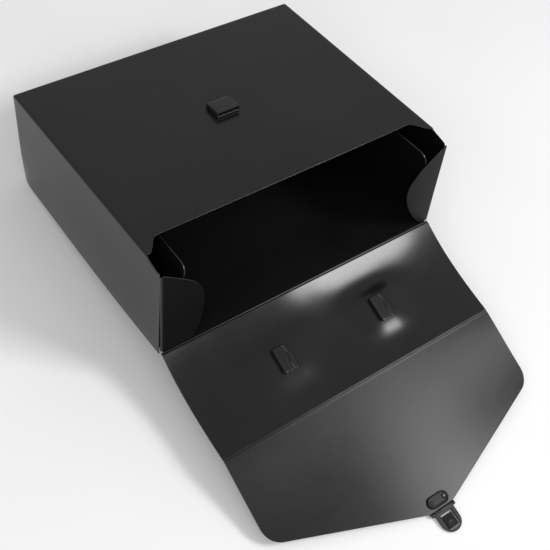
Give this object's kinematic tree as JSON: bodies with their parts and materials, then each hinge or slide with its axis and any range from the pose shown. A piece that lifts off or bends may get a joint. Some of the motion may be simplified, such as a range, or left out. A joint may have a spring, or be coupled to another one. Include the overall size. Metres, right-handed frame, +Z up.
{
  "type": "document carry case",
  "caption": "Flat-folding document case of creased plastic sheet, lying open: deep box with folding spine, pointed closing flap, dust flaps, bow carry handle and push-in snap clasp.",
  "frame": {"origin": "on the floor, under the middle of the whole open case", "axes": "+Z up from the floor, +X along the mouth, +Y from the closing flap's tip to the case's bottom panel; the case is raised at its mouth end by its handle"},
  "size_m": [0.35, 0.5951, 0.1679],
  "materials": {
    "creased_sheet": "satin",
    "moulded_plastic": "semi-gloss",
    "black_rivets": "satin",
    "steel_pin": "satin"
  },
  "bodies": {
    "case": {"back_panel": "creased_sheet", "front_panel": "creased_sheet", "bottom_panel": "creased_sheet", "left_side_wall": "creased_sheet", "right_side_wall": "creased_sheet", "left_rear_flange": "creased_sheet", "right_rear_flange": "creased_sheet", "rear_flange_rivets": "black_rivets", "receiver_housing": "moulded_plastic", "receiver_backing_plate": "moulded_plastic", "receiver_rivets": "black_rivets"},
    "spine": {"spine_panel": "creased_sheet", "carry_handle": "moulded_plastic", "left_handle_anchor": "moulded_plastic", "right_handle_anchor": "moulded_plastic"},
    "flap": {"closing_flap": "creased_sheet", "clasp_mount": "moulded_plastic", "clasp_backing_plate": "moulded_plastic", "clasp_rivets": "black_rivets", "clasp_pin": "steel_pin"},
    "tongue": {"clasp_tongue": "moulded_plastic"},
    "tab": {"snap_tab": "moulded_plastic"},
    "left_dust_flap": {"left_dust_flap": "creased_sheet"},
    "right_dust_flap": {"right_dust_flap": "creased_sheet"},
    "left_inner_flap": {"left_inner_flap": "creased_sheet"},
    "right_inner_flap": {"right_inner_flap": "creased_sheet"}
  },
  "joints": [
    {"name": "spine_fold", "type": "hinge", "parent": "case", "child": "spine", "pos_m": [0, -0.00994, 0.05619], "axis": [-1, 0, 0], "range_deg": [0, 111.45]},
    {"name": "flap_fold", "type": "hinge", "parent": "spine", "child": "flap", "pos_m": [0, -0.12747, 0.03462], "axis": [-1, 0, 0], "range_deg": [0, 90.65]},
    {"name": "tongue_hinge", "type": "hinge", "parent": "flap", "child": "tongue", "pos_m": [0, -0.27315, 0.00332], "axis": [1, 0, 0], "range_deg": [-75, 6.65]},
    {"name": "snap_tab_flex", "type": "hinge", "parent": "tongue", "child": "tab", "pos_m": [0, -0.29126, 0.00143], "axis": [1, 0, 0], "range_deg": [0, 4], "stiffness_Nm_per_rad": 0.15},
    {"name": "left_dust_flap_fold", "type": "hinge", "parent": "case", "child": "left_dust_flap", "pos_m": [-0.1744, 0.00297, 0.11392], "axis": [0, 0.1917, 0.9815], "range_deg": [-90, 0]},
    {"name": "left_inner_flap_fold", "type": "hinge", "parent": "case", "child": "left_inner_flap", "pos_m": [-0.1726, 0.13238, 0.02838], "axis": [0, -0.9815, 0.1917], "range_deg": [-45, 13]},
    {"name": "right_dust_flap_fold", "type": "hinge", "parent": "case", "child": "right_dust_flap", "pos_m": [0.1744, 0.00297, 0.11392], "axis": [0, -0.1917, -0.9815], "range_deg": [-90, 0]},
    {"name": "right_inner_flap_fold", "type": "hinge", "parent": "case", "child": "right_inner_flap", "pos_m": [0.1726, 0.13238, 0.02838], "axis": [0, 0.9815, -0.1917], "range_deg": [-45, 13]}
  ]
}
